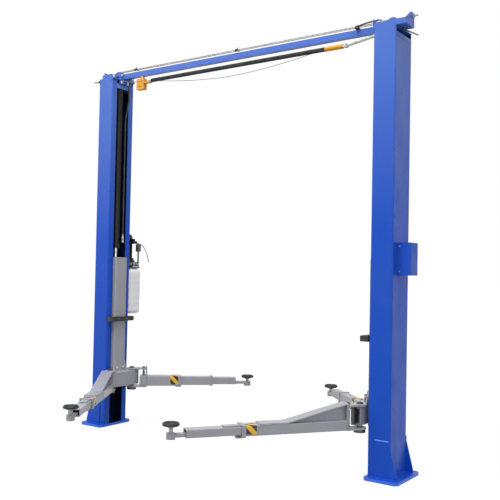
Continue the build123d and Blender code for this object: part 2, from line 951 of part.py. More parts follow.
def power_unit():
    """The tank, the pump that carries it, the motor and the lowering valve."""
    back = post_width / 2
    with BuildPart() as tank:
        with BuildSketch(Plane.XY.offset(tank_low)):
            with Locations((unit_x, unit_y)):
                RectangleRounded(tank_length, tank_depth, tank_round)
        extrude(amount=tank_height)
        fillet(tank.faces().sort_by(Axis.Z)[0].edges(), tank_round / 2)
    save(tank.part, "power_unit_tank")
    with BuildPart() as pump:
        with Locations((unit_x, unit_y, pump_low)):
            Box(pump_plate_length, pump_plate_depth, pump_plate, align=low)
            Box(pump_width, pump_width, pump_height, align=low)
        with Locations((unit_x, back, pump_low)):
            Box(pump_width, unit_y - back, pump_plate, align=(Align.CENTER, Align.MIN, Align.MIN))
            Box(pump_width, unit_plate, motor_height, align=(Align.CENTER, Align.MIN, Align.MIN))
    save(pump.part, "power_unit_pump")
    with BuildPart() as motor:
        with Locations((unit_x, unit_y, motor_low)):
            Cylinder(motor_r, motor_height, align=low)
        with Locations((unit_x, unit_y, motor_low + motor_height)):
            Cylinder(bell_r, bell_height, align=low)
    save(motor.part, "power_unit_motor")
    with BuildPart() as valve:
        with Locations((unit_x + valve_x, unit_y + valve_y, pump_low + pump_plate)):
            Cylinder(stem_r, motor_low + stem_height - pump_low - pump_plate, align=low)
        with Locations((unit_x + valve_x, unit_y + valve_y, motor_low + stem_height)):
            Cylinder(valve_r, valve_height, align=low)
    save(valve.part, "power_unit_valve")


os.makedirs("parts", exist_ok=True)
base_plate()
post()
foot_plates()
post_cap()
beam()
top_sheave()
level_cables()
cylinder()
hose()
lock_cover()
carriage_column()
slide_blocks()
arm_bracket()
arm_pins()
bumper()
cylinder_rod()
front_arm()
front_inner_arm()
rear_arm()
rear_middle_arm()
rear_inner_arm()
pad("front", front_reach, tube_low)
pad("rear", rear_reach, rear_low)
limit_bar()
limit_pivot()
limit_switch()
power_unit()
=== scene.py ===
"""Looks for the two post car lift: finishes, fastenings, welds, labels, wires, lights and camera.

Lengths are in metres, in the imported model's frame: X runs along the beam from the left post to the
right one, +Y is the way a car drives in and +Z is up. Pieces on an arm are made in that arm's own
frame, in which +X runs out from its pin.
"""
import json
from math import atan2, ceil, cos, pi, radians, sin, sqrt

import bmesh
import bpy
from mathutils import Matrix, Vector


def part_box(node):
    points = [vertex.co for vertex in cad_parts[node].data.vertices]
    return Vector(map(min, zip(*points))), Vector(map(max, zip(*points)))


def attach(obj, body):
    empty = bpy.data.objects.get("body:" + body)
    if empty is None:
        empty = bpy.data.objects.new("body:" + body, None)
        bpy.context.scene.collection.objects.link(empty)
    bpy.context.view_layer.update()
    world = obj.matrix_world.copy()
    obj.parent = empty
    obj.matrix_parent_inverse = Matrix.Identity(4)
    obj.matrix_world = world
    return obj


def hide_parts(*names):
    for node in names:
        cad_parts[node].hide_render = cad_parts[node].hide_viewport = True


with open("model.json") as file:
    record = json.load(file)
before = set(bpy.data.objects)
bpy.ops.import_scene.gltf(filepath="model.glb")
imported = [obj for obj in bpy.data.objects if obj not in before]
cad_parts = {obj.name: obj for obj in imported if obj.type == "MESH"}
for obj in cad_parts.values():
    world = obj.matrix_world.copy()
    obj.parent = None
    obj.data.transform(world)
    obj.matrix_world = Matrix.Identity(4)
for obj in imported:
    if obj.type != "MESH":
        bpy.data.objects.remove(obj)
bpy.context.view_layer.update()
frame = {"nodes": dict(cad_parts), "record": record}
nodes = frame["nodes"]
SIGN = {"left": -1, "right": 1}
ENDS = ("front", "rear")

# The posts: folded corners, half the slot, how far in the foot plates start, the space inside, which
# is painted dark as shade, and the height below which base plate edges get a painted highlight
POST_BEND = 0.012
SLOT_HALF = 0.084
FOOT_IN = 0.060
INSIDE_HALF = 0.1445
INSIDE_NEAR = 1.4306
INSIDE_FAR = 1.6046
INSIDE_TOP = 3.454
BASE_HIGHLIGHT_TOP = 0.0235

# The caps, the beam between them and what runs along it
CAP_THICK = 0.008
PLATE_THICK = 0.008
BEAM_SIZE = 0.050
BEAM_LIFT = 0.033
CABLE_HEIGHT = 3.547
HOSE_Y = 0.0323

# The arm brackets and pins
PIN_Y = 0.150
BRACKET_LOW = 0.397
GUSSET_HEIGHT = 0.108
GUSSET_THICK = 0.012
GUSSET_FOOT = 0.094
GUSSET_TIP = 0.063

# The arms, along each arm's own frame
FORK_FLOOR = 0.368
FORK_TOP = 0.560
FORK_PLATE = 0.014
ROOT_TOP = 0.572
ROOT = {"front": 0.120, "rear": 0.140}
ROOT_THICK = 0.014
TUBE_FLOOR = {"front": 0.370, "rear": 0.382}
TUBE_WIDTH = {"front": 0.110, "rear": 0.100}
TUBE_HEIGHT = {"front": 0.076, "rear": 0.100}
TUBE_TIP = {"front": 0.970, "rear": 0.500}
SLOPE_END = 0.585
WEB_HALF = 0.018
FLANGE_END = 0.830
COLLAR = 0.030
LABEL_LENGTH = 0.080
LABEL_PITCH = 0.094
LABEL_RISE = 0.014

# The tank, whose wall ripples up to a height
TANK_ROUND = 0.038
TANK_CORNER = 0.042
RIPPLE = 0.072
RIPPLE_DEPTH = 0.0015
RIPPLE_TOP = 0.392

# The cords' lengths, and the limit switch
SWITCH_LENGTH = 0.096

# Widths of nuts and bolt heads across their flats, with their heights
CAP_BOLT = (0.019, 0.010)
PLATE_BOLT = (0.017, 0.009)
BRACKET_BOLT = (0.017, 0.008)
LUG_BOLT = (0.015, 0.007)
STUD_NUT = (0.018, 0.009)

# Radii of weld beads, from heavy to light
TOP_BEAD = 0.005
POST_BEAD = 0.0045
BEAD = 0.004
THIN_BEAD = 0.0035
FINE_BEAD = 0.003

# The greys between which clouds change the gloss, how straight towards the light a surface still
# counts as an edge, the heights over which painted light turns the posts paler, and the world's
# light
CLOUDS = (0.3, 0.7)
EDGE_LIGHT = (0.80, 0.99)
PAINTED_LIGHT_HEIGHTS = (1.9, 3.4)
WORLD_LIGHT = 0.42

UP = (0, 0, 1)


def colour(red, green, blue):
    """A colour as a paint chart gives it, 0 to 255, as the shader's linear values."""
    parts = [part / 255 for part in (red, green, blue)]
    return tuple(p / 12.92 if p <= 0.04045 else ((p + 0.055) / 1.055) ** 2.4 for p in parts) + (1,)


# Every finished material, by its name
finishes = {}


class Finish:
    """A material whose nodes are added one call at a time, and which is filed when it is done."""

    def __init__(self, name):
        self.name = name
        self.material = bpy.data.materials.new(name)
        self.material.use_nodes = True
        self.nodes = self.material.node_tree.nodes
        self.links = self.material.node_tree.links
        self.shader = self.nodes["Principled BSDF"]
        self.place = self.nodes.new("ShaderNodeTexCoord").outputs["Object"]

    def fill(self, socket, value):
        """Gives the socket a number, a paint chart's colour or another node's output."""
        if isinstance(value, bpy.types.NodeSocket):
            self.links.new(value, socket)
        else:
            socket.default_value = colour(*value) if isinstance(value, tuple) else value

    def set(self, name, value):
        """Gives the shader's input a value or another node's output."""
        self.fill(self.shader.inputs[name], value)

    def gloss(self, cloud, low, high):
        """Roughness that wanders between two values with the clouds."""
        self.set("Roughness", self.spread(cloud, low, high, *CLOUDS))

    def math(self, operation, a, b=0.0, c=0.0):
        node = self.nodes.new("ShaderNodeMath")
        node.operation = operation
        for socket, value in zip(node.inputs, (a, b, c)):
            self.fill(socket, value)
        return node.outputs[0]

    def noise(self, scale, detail=4, stretch=(1, 1, 1)):
        """Cloudy grey, with features about 1 / scale metres across."""
        mapping = self.nodes.new("ShaderNodeMapping")
        mapping.inputs["Scale"].default_value = stretch
        self.links.new(self.place, mapping.inputs["Vector"])
        node = self.nodes.new("ShaderNodeTexNoise")
        node.inputs["Scale"].default_value = scale
        node.inputs["Detail"].default_value = detail
        self.links.new(mapping.outputs[0], node.inputs["Vector"])
        return node.outputs["Fac"]

    def cells(self, scale):
        """Grey that grows with the distance from scattered points, as in a pitted skin."""
        node = self.nodes.new("ShaderNodeTexVoronoi")
        node.inputs["Scale"].default_value = scale
        self.links.new(self.place, node.inputs["Vector"])
        return node.outputs["Distance"]

    def spread(self, value, low, high, from_low=0.0, from_high=1.0):
        """Stretches a value from one range to another, and holds it at both ends."""
        node = self.nodes.new("ShaderNodeMapRange")
        for name, number in (("From Min", from_low), ("From Max", from_high),
                             ("To Min", low), ("To Max", high)):
            node.inputs[name].default_value = number
        self.links.new(value, node.inputs["Value"])
        return node.outputs["Result"]

    def mix(self, share, a, b):
        node = self.nodes.new("ShaderNodeMix")
        node.data_type = "RGBA"
        self.fill(node.inputs["Factor"], share)
        self.fill(node.inputs["A"], a)
        self.fill(node.inputs["B"], b)
        return node.outputs["Result"]

    def axis(self, letter):
        node = self.nodes.new("ShaderNodeSeparateXYZ")
        self.links.new(self.place, node.inputs[0])
        return node.outputs[letter]

    def round_edges(self, radius):
        """Softens the edges in the light, and returns where they are, from 0 to 1."""
        bevel = self.nodes.new("ShaderNodeBevel")
        bevel.samples = 4
        bevel.inputs["Radius"].default_value = radius
        self.normal = bevel.outputs["Normal"]
        flat = self.nodes.new("ShaderNodeNewGeometry").outputs["Normal"]
        dot = self.nodes.new("ShaderNodeVectorMath")
        dot.operation = "DOT_PRODUCT"
        self.links.new(self.normal, dot.inputs[0])
        self.links.new(flat, dot.inputs[1])
        return self.spread(dot.outputs["Value"], 1.0, 0.0, *EDGE_LIGHT)

    def bump(self, height, depth):
        node = self.nodes.new("ShaderNodeBump")
        node.inputs["Strength"].default_value = 1
        node.inputs["Distance"].default_value = depth
        self.links.new(height, node.inputs["Height"])
        self.links.new(self.normal, node.inputs["Normal"])
        self.normal = node.outputs["Normal"]

    def done(self):
        self.links.new(self.normal, self.shader.inputs["Normal"])
        finishes[self.name] = self.material
        return self.material


def blue_with_painted_light(finish, base, high, dark, edge):
    """Deep blue, paler towards the post tops as painted light, with painted shade inside the posts
    and a painted highlight on the base plate edges.
    """
    height = finish.axis("Z")
    # Painted light: the posts turn paler towards their tops
    tint = finish.mix(finish.spread(height, 0.0, 1.0, *PAINTED_LIGHT_HEIGHTS), base, high)
    across = finish.math("ABSOLUTE", finish.axis("Y"))
    along = finish.math("ABSOLUTE", finish.axis("X"))
    # Painted shade: dark inside the posts, where little light reaches
    shade_inside_mask = finish.math("LESS_THAN", across, INSIDE_HALF)
    for test, value, limit in (("GREATER_THAN", along, INSIDE_NEAR),
                               ("LESS_THAN", along, INSIDE_FAR),
                               ("LESS_THAN", height, INSIDE_TOP)):
        shade_inside_mask = finish.math("MULTIPLY", shade_inside_mask, finish.math(test, value, limit))
    tint = finish.mix(shade_inside_mask, tint, dark)
    # Painted highlight: the base plate edges are paler blue
    return finish.mix(finish.math("LESS_THAN", height, BASE_HIGHLIGHT_TOP), tint, edge)


def coated(name, base, worn, rough=0.35, grain=900, depth=0.00008, wear=0.55, edge=0.0025,
           shine=0.42, light_and_shade_blues=None):
    """Paint or moulded plastic: clouded colour, orange peel, rubbed edges and a little dust, with
    painted light and shade on the posts' blue.
    """
    finish = Finish(name)
    edges = finish.round_edges(edge)
    tint = blue_with_painted_light(finish, base, *light_and_shade_blues) if light_and_shade_blues else base
    cloud = finish.spread(finish.noise(3.5, 5), 0.0, 0.16, 0.42, 0.7)
    dull = finish.mix(cloud, tint, worn)
    scuffs = finish.spread(finish.noise(38, 6), 0.0, wear, 0.46, 0.62)
    finish.set("Base Color", finish.mix(finish.math("MULTIPLY", edges, scuffs), dull, worn))
    finish.gloss(finish.noise(11, 7, (1, 1, 0.35)), rough - 0.07, rough + 0.12)
    finish.set("Specular IOR Level", shine)
    finish.bump(finish.noise(grain, 2), depth)
    finish.bump(finish.noise(22, 3), depth * 5)
    return finish.done()


def metal(name, base, dark, rough=0.35, metallic=0.9, turned=0.0, depth=0.00006):
    """Bare or plated metal, with tool marks round its axis where it is turned."""
    finish = Finish(name)
    edges = finish.round_edges(0.0012)
    stain = finish.spread(finish.noise(26, 6), 0.0, 0.75, 0.45, 0.72)
    worn = finish.mix(stain, base, dark)
    finish.set("Base Color", finish.mix(finish.math("MULTIPLY", edges, 0.4), worn, base))
    finish.set("Metallic", metallic)
    finish.gloss(finish.noise(60, 4), rough - 0.1, rough + 0.15)
    finish.bump(finish.noise(400, 3), depth)
    if turned:
        finish.bump(finish.noise(turned, 1, (0.02, 0.02, 1)), depth)
    return finish.done()


def strand_steel(name, pitch=0.007, depth=0.0011):
    """Wire rope: bright strands that lie aslant across the cable, darker between them."""
    finish = Finish(name)
    finish.round_edges(0.0004)
    across = finish.math("ADD", finish.axis("X"), finish.axis("Z"))
    slant = finish.math("ADD", across, finish.math("MULTIPLY", finish.axis("Y"), 1.6))
    lay = finish.math("SINE", finish.math("MULTIPLY", slant, 2 * pi / pitch))
    ridge = finish.spread(lay, 0.0, 1.0, -1.0, 1.0)
    finish.set("Base Color", finish.mix(ridge, (104, 100, 98), (208, 204, 198)))
    finish.set("Metallic", 0.8)
    finish.gloss(finish.noise(90, 3), 0.32, 0.55)
    finish.bump(ridge, depth)
    return finish.done()


def soft_rubber(name, base, pale, scale, depth, rough=0.7):
    """Rubber or foam, whose skin is pitted and greyed by dust."""
    finish = Finish(name)
    edges = finish.round_edges(0.002)
    dust = finish.spread(finish.noise(14, 6), 0.0, 0.7, 0.45, 0.75)
    scuffed = finish.mix(dust, base, pale)
    finish.set("Base Color", finish.mix(finish.math("MULTIPLY", edges, 0.45), scuffed, pale))
    finish.gloss(finish.noise(40, 4), rough - 0.12, rough + 0.15)
    finish.bump(finish.cells(scale), depth)
    finish.bump(finish.noise(scale * 0.3, 4), depth)
    return finish.done()


def hazard_label(name, lean, centre):
    """A printed label with a slanting yellow bar between black ones, thinly scratched."""
    finish = Finish(name)
    finish.round_edges(0.0008)
    slope = finish.math("ADD", finish.axis("X"), finish.math("MULTIPLY", finish.axis("Z"), lean))
    across = finish.math("ADD", slope, finish.axis("Y"))
    turn = finish.math("MULTIPLY", finish.math("SUBTRACT", across, centre), 2 * pi / LABEL_PITCH)
    bar = finish.spread(finish.math("COSINE", turn), 0.0, 1.0, -0.04, 0.04)
    print_colour = finish.mix(bar, (24, 22, 20), (238, 186, 32))
    scratch = finish.spread(finish.noise(120, 8, (1, 1, 5)), 0.0, 0.5, 0.6, 0.72)
    finish.set("Base Color", finish.mix(scratch, print_colour, (190, 184, 170)))
    finish.gloss(finish.noise(50, 3), 0.3, 0.5)
    finish.bump(finish.noise(500, 2), 0.00005)
    return finish.done()


# One finish for each material slot of the record, then those of single pieces
# Painted light and shade for the posts' blue: pale tops, dark insides and pale base plate edges
post_light_and_shade_blues = ((82, 118, 204), (6, 20, 56), (74, 124, 236))
coated("blue_paint", (22, 82, 200), (62, 102, 186), 0.32, shine=0.2, light_and_shade_blues=post_light_and_shade_blues)
coated("grey_paint", (166, 167, 174), (120, 118, 122), 0.34)
coated("black_paint", (12, 12, 15), (58, 54, 52), 0.3, shine=0.3)
coated("yellow_paint", (226, 158, 26), (160, 108, 44), 0.4)
metal("dark_steel", (96, 94, 94), (34, 32, 32), 0.42)
strand_steel("cable_steel")
metal("bar_steel", (176, 180, 176), (112, 112, 106), 0.34, metallic=0.75)
metal("chrome_rod", (206, 208, 212), (150, 150, 154), 0.16, turned=900)
soft_rubber("rubber", (36, 38, 38), (84, 84, 82), 700, 0.0003)
soft_rubber("hose_rubber", (30, 32, 32), (70, 72, 70), 1500, 0.0001, 0.5)
soft_rubber("foam", (30, 34, 36), (62, 66, 68), 420, 0.0008, 0.85)
coated("nylon", (222, 218, 204), (150, 144, 130), 0.5, grain=500)
coated("white_plastic", (253, 253, 254), (232, 232, 232), 0.42, 260, 0.0002, wear=0.3)
bolt_steel = metal("bolt_steel", (196, 198, 202), (110, 108, 106), 0.3)
zinc = metal("zinc", (168, 172, 174), (120, 120, 118), 0.3, metallic=0.7)
wire_skin = soft_rubber("wire_skin", (26, 26, 27), (66, 66, 66), 1500, 0.00005, 0.45)
pale_skin = soft_rubber("pale_skin", (112, 116, 124), (150, 150, 150), 1500, 0.00005, 0.45)
# Pale blue that paints a highlight on the foot plates' top beads and the hanger bar
painted_highlight_blue = coated("painted_highlight_blue", (120, 166, 255), (160, 190, 240), 0.4, shine=0.3)
coil_shell = coated("coil_shell", (92, 104, 98), (60, 66, 62), 0.45)

for entry in frame["record"]["subparts"]:
    part = nodes[entry["node"]].data
    screw = entry["node"].endswith("pad_screw")
    part.materials.clear()
    part.materials.append(zinc if screw else finishes[entry["material_slot"]])


def add_object(name, data):
    """An object in the scene that shows the data."""
    made = bpy.data.objects.new(name, data)
    bpy.context.scene.collection.objects.link(made)
    return made


def piece(name, mesh, body, slot, material=None, place=None, angle=35):
    """Turns a bmesh into an object on that body, smooth but for its sharp edges."""
    data = bpy.data.meshes.new(name)
    bmesh.ops.recalc_face_normals(mesh, faces=mesh.faces)
    mesh.to_mesh(data)
    mesh.free()
    data.polygons.foreach_set("use_smooth", [True] * len(data.polygons))
    data.set_sharp_from_angle(angle=radians(angle))
    made = add_object(name, data)
    if place:
        made.matrix_world = place
    data.materials.append(material or finishes[slot])
    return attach(made, body)


def facing(axis):
    """A turn that lays +Z along the axis."""
    return Vector(axis).to_track_quat("Z", "Y").to_matrix().to_4x4()


def turns(steps):
    """Equal turns round a circle, in radians."""
    return [2 * pi * i / steps for i in range(steps)]


def lathe(mesh, place, axis, outline, sides=24):
    """Turns (radius, height) points about an axis through the place."""
    turn = Matrix.Translation(place) @ facing(axis)
    rings = []
    for radius, height in outline:
        if radius < 1e-6:
            rings.append([mesh.verts.new(turn @ Vector((0, 0, height)))])
            continue
        points = [(radius * cos(t), radius * sin(t), height) for t in turns(sides)]
        rings.append([mesh.verts.new(turn @ Vector(point)) for point in points])
    for one, two in zip(rings, rings[1:]):
        count = max(len(one), len(two))
        if count == 1:
            continue
        for i in range(count):
            j = (i + 1) % count
            corners = [one[i % len(one)], one[j % len(one)], two[j % len(two)], two[i % len(two)]]
            mesh.faces.new(list(dict.fromkeys(corners)))


def solid(mesh, place, axis, outline, sides=24):
    """Turns the outline and closes it at both ends."""
    lathe(mesh, place, axis, [(0, outline[0][1]), *outline, (0, outline[-1][1])], sides)


def hex_head(mesh, place, axis, across, height):
    """A hexagon head with its corners turned off at the top."""
    corner = across / 2 * 1.15
    outline = [(corner, 0), (corner, height * 0.8), (across / 2 * 0.95, height)]
    solid(mesh, place, axis, outline, sides=6)


def bolt(mesh, place, axis, across, height, stud=0.0):
    """A washer, a hexagon head or nut and, where there is one, the stud's end."""
    way = Vector(axis)
    thick = height * 0.22
    washer = [(across * 0.95, 0), (across * 0.95, thick * 0.7), (across * 0.88, thick)]
    solid(mesh, place, axis, washer)
    seat = Vector(place) + way * thick
    hex_head(mesh, seat, axis, across, height)
    if stud:
        radius = across * 0.29
        end = [(radius, 0), (radius, stud), (radius * 0.8, stud * 1.12)]
        solid(mesh, seat + way * height * 0.9, axis, end, sides=16)


def button(mesh, place, axis, radius, height):
    """A domed screw head with a socket."""
    socket = height * 0.5
    outline = [(radius, 0), (radius, height * 0.35), (radius * 0.8, height * 0.8),
               (radius * 0.42, height), (radius * 0.38, socket), (0, socket)]
    lathe(mesh, place, axis, outline, sides=20)


def skin(mesh, rings):
    """Joins rings of as many points each, and closes the first and the last."""
    for one, two in zip(rings, rings[1:]):
        for k in range(len(one)):
            n = (k + 1) % len(one)
            mesh.faces.new([one[k], one[n], two[n], two[k]])
    mesh.faces.new(rings[0][::-1])
    mesh.faces.new(rings[-1])


def sweep(mesh, points, radius, sides=8, ripple=0.0, pitch=0.005):
    """A tube along the points, closed at both ends, whose radius may ripple as a weld's does."""
    points = [Vector(p) for p in points]
    across = None
    rings = []
    run = 0.0
    for i, point in enumerate(points):
        before = points[max(i - 1, 0)]
        after = points[min(i + 1, len(points) - 1)]
        run += (point - before).length
        way = (after - before).normalized()
        if across is None:
            across = way.orthogonal().normalized()
        across = (across - way * across.dot(way)).normalized()
        up = way.cross(across)
        wide = radius * (1 + ripple * sin(2 * pi * run / pitch))
        spokes = [across * cos(t) + up * sin(t) for t in turns(sides)]
        rings.append([mesh.verts.new(point + spoke * wide) for spoke in spokes])
    skin(mesh, rings)


def weld(mesh, corners, radius=BEAD, closed=False, pitch=0.0055):
    """A rippled bead along straight runs from corner to corner."""
    corners = [Vector(c) for c in corners]
    if closed:
        corners.append(corners[0])
    for start, end in zip(corners, corners[1:]):
        count = max(2, ceil((end - start).length / (pitch / 3)))
        points = [start.lerp(end, i / count) for i in range(count + 1)]
        sweep(mesh, points, radius, sides=6, ripple=0.22, pitch=pitch)


def block(mesh, one, other, bevel=0.002):
    """A box between two opposite corners, with rounded edges."""
    lowest, highest = Vector(map(min, one, other)), Vector(map(max, one, other))
    size = highest - lowest
    turn = Matrix.Translation((lowest + highest) / 2) @ Matrix.Diagonal((*size, 1))
    made = bmesh.ops.create_cube(mesh, size=1, matrix=turn)
    edges = {edge for vert in made["verts"] for edge in vert.link_edges}
    bmesh.ops.bevel(mesh, geom=list(edges), offset=bevel, segments=2, affect="EDGES", profile=0.6)


def crown(mesh, centre, count, blocks):
    """The same rounded blocks, each (corner, corner, bevel), repeated round a vertical axis."""
    for angle in turns(count):
        tooth = bmesh.new()
        for one, other, bevel in blocks:
            block(tooth, one, other, bevel)
        turn = Matrix.Translation(centre) @ Matrix.Rotation(angle, 4, "Z")
        bmesh.ops.transform(tooth, matrix=turn, verts=tooth.verts)
        data = bpy.data.meshes.new("tooth")
        tooth.to_mesh(data)
        tooth.free()
        mesh.from_mesh(data)
        bpy.data.meshes.remove(data)


def trail(start, *steps):
    """Points at those steps from a start."""
    return [Vector(start) + Vector(step) for step in steps]


def helix(mesh, x, radius, low, high, rounds, steps, thick):
    """A wire wound about the upright line at that X, from one height to another."""
    count = rounds * steps
    points = []
    for i in range(count + 1):
        t = 2 * pi * i / steps
        points.append((x + radius * cos(t), radius * sin(t), low + (high - low) * i / count))
    sweep(mesh, points, thick, sides=6)


def hoop(mesh, centre, half_y, half_z, thick, steps):
    """A strap that closes round a line along X."""
    loop = trail(centre, *[(0, half_y * cos(t), half_z * sin(t)) for t in turns(steps)])
    sweep(mesh, loop + loop[:1], thick, sides=6)


def ribbon(mesh, section, start, end, thick):
    """A thin strip whose section lies in the YZ plane, from one X to another."""
    count = len(section)
    rows = []
    for i, (y, z) in enumerate(section):
        before, after = section[max(i - 1, 0)], section[min(i + 1, count - 1)]
        way = Vector((after[0] - before[0], after[1] - before[1])).normalized()
        out = Vector((-way.y, way.x)) * thick
        rows.append([mesh.verts.new((x, y + out.x * s, z + out.y * s))
                     for x, s in ((start, 0), (end, 0), (end, 1), (start, 1))])
    skin(mesh, rows)


def wire(name, points, radius, body, slot, material=None):
    """A thin wire along a smooth spline."""
    data = bpy.data.curves.new(name, "CURVE")
    data.dimensions = "3D"
    data.bevel_depth = radius
    data.bevel_resolution = 3
    data.resolution_u = 10
    data.use_fill_caps = True
    spline = data.splines.new("NURBS")
    spline.points.add(len(points) - 1)
    for control, point in zip(spline.points, points):
        control.co = (*point, 1)
    spline.order_u = 3
    spline.use_endpoint_u = True
    made = add_object(name, data)
    data.materials.append(material or finishes[slot])
    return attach(made, body)


def middle(node):
    """The centre of the node's box."""
    lowest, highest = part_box(node)
    return (lowest + highest) / 2


def span(node):
    """How far from the middle of the lift the node starts and ends, along X."""
    lowest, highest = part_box(node)
    return sorted((abs(lowest.x), abs(highest.x)))


def arm_frame(side, end):
    """The arm's own frame: its origin is under the pin and +X runs out to the pad."""
    x = middle(f"{side}_arm_pins").x
    y = {"front": -PIN_Y, "rear": PIN_Y}[end]
    reach = middle(f"{side}_{end}_pad") - Vector((x, y, 0))
    return Matrix.Translation((x, y, 0)) @ Matrix.Rotation(atan2(reach.y, reach.x), 4, "Z")


class Post:
    """The places that a post's fittings follow, written for the right-hand one.

    The left post carries the same fittings, turned half round about the middle of the lift.
    """

    def __init__(self, side):
        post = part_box(f"{side}_post")
        self.side = side
        self.sign = SIGN[side]
        self.inner, self.outer = span(f"{side}_post")
        self.cap_inner = span(f"{side}_post_cap")[0]
        self.half = post[1].y
        self.floor = post[0].z
        self.top = post[1].z
        self.tray = self.top + CAP_THICK

    def at(self, x, y, z):
        """The place, or the way, on this post for one on the right-hand post."""
        return Vector((self.sign * x, self.sign * y, z))

    def path(self, *points):
        return [self.at(*point) for point in points]

    def add(self, name, mesh, slot, material=None):
        piece(f"{self.side}_{name}", mesh, "frame", slot, material)


def foot_welds(post):
    """The beads round the post's foot and along the edges of its foot plates; the top beads are pale
    blue, a painted highlight.
    """
    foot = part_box(f"{post.side}_foot_plates")
    plate, plate_top = foot[1].y, foot[1].z
    foot_outer = span(f"{post.side}_foot_plates")[1]
    corners = [
        (post.inner, SLOT_HALF),
        (post.inner, post.half - POST_BEND),
        (post.inner + POST_BEND, post.half),
        (post.outer - POST_BEND, post.half),
        (post.outer, post.half - POST_BEND),
    ]
    round_foot = [(x, -y) for x, y in corners] + corners[::-1]
    near, far = post.inner + FOOT_IN, post.outer - 0.001
    beads = bmesh.new()
    weld(beads, post.path(*[(x, y, post.floor) for x, y in round_foot]), POST_BEAD)
    for way in (-1, 1):
        flat = way * plate
        weld(beads, post.path((near + 0.002, flat, post.floor),
                              (foot_outer - 0.002, flat, post.floor)))
        flat = way * post.half
        weld(beads, post.path((near - 0.001, flat, post.floor),
                              (near - 0.001, flat, plate_top - 0.004)), THIN_BEAD)
        flat = way * (post.half + 0.001)
        weld(beads, post.path((far, flat, post.floor), (far, flat, plate_top - 0.045)), THIN_BEAD)
    post.add("foot_welds", beads, "blue_paint")
    # The top beads are pale blue as a painted highlight
    beads = bmesh.new()
    for flat in (0.003 - plate, plate - 0.003):
        weld(beads, post.path((near + 0.004, flat, plate_top + 0.002),
                              (post.outer - 0.014, flat, plate_top + 0.002)), TOP_BEAD)
    post.add("foot_top_welds", beads, "blue_paint", painted_highlight_blue)


def cap_bolts(post):
    """The bolts that hold the cap on the post and the beam's end plate on the cap."""
    heads = bmesh.new()
    for x, y in ((post.outer + 0.030, -0.105), (post.outer - 0.035, 0.105),
                 (post.cap_inner + 0.045, -0.112), (post.cap_inner + 0.045, 0.112)):
        bolt(heads, post.at(x, y, post.tray), UP, *CAP_BOLT, stud=0.008)
    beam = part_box("overhead_beam")
    for y in (-0.044, 0.044):
        for z in (beam[0].z + 0.016, beam[1].z - 0.016):
            for way, stud in ((-1, 0.0), (1, 0.007)):
                place = post.at(post.cap_inner + way * PLATE_THICK, y, z)
                bolt(heads, place, post.at(way, 0, 0), *PLATE_BOLT, stud=stud)
    post.add("cap_bolts", heads, "dark_steel", bolt_steel)


def release_studs(post):
    """The bent rods that stick out under the cap, each held by a nut."""
    studs = bmesh.new()
    place = post.at(post.outer + 0.025, -0.050, post.top)
    bolt(studs, place, (0, 0, -1), *STUD_NUT)
    bends = post.path((0, 0, -0.004), (0.004, 0.003, -0.015), (0.017, 0.014, -0.022),
                      (0.085, 0.070, -0.053))
    sweep(studs, trail(place, *bends), 0.0050, 10)
    if post.side == "left":
        x, y, z = post.outer, post.half - 0.0105, post.top - 0.018
        bolt(studs, post.at(x, y, z), post.at(1, 0, 0), 0.018, 0.010)
        sweep(studs, post.path((x - 0.004, y, z), (x + 0.085, y, z + 0.006)), 0.0055, 10)
    post.add("release_studs", studs, "dark_steel")


def post_strips(post):
    """The bar across the slot that the cylinder hangs on, pale blue as a painted highlight, and the
    strip in the outer notch.
    """
    hanger = bmesh.new()
    wide = SLOT_HALF + 0.02
    block(hanger, post.at(post.inner + 0.012, -wide, post.top - 0.078),
          post.at(post.inner + 0.019, wide, post.top - 0.036), 0.001)
    post.add("hanger_bar", hanger, "blue_paint", painted_highlight_blue)
    closing = bmesh.new()
    wide = post.half - 0.0155
    block(closing, post.at(post.outer - 0.0054, -wide, post.top - 0.0725),
          post.at(post.outer - 0.0004, wide, post.top - 0.0400), 0.0008)
    post.add("notch_plate", closing, "blue_paint")


def cap_stub(post):
    """The pin that leans out of the cap's ear."""
    stub = bmesh.new()
    lean = post.at(0.62, 0, 0.78).normalized()
    foot = post.at(post.outer - 0.003, 0.050, post.top + 0.050) - lean * 0.004
    solid(stub, foot, lean, [(0.0085, 0), (0.0085, 0.010), (0.0062, 0.011), (0.0062, 0.064),
                             (0.0054, 0.066)], 14)
    post.add("cap_stub", stub, "dark_steel")


def cap_lugs(post):
    """The lug on the cap's inner edge with its bolts, and the guard beside the sheave."""
    lug = bmesh.new()
    block(lug, post.at(post.cap_inner + 0.001, -0.080, post.tray - 0.001),
          post.at(post.cap_inner + 0.007, -0.1415, post.tray + 0.070), 0.0015)
    sheave = abs(middle(f"{post.side}_top_sheave").x)
    guard = [(0.019, -0.001), (0.019, 0.086), (0.034, 0.094), (0.055, 0.096), (0.076, 0.091),
             (0.092, 0.078), (0.097, -0.001)]
    skin(lug, [[lug.verts.new(post.at(sheave + x, y, post.tray + z)) for x, z in guard]
               for y in (-0.0338, -0.0395)])
    post.add("cap_lugs", lug, "blue_paint")
    nuts = bmesh.new()
    for y, z in ((-0.104, 0.055), (-0.124, 0.030)):
        place = post.at(post.cap_inner + 0.001, y, post.tray + z)
        bolt(nuts, place, post.at(-1, 0, 0), *LUG_BOLT)
    post.add("lug_bolts", nuts, "dark_steel", zinc)


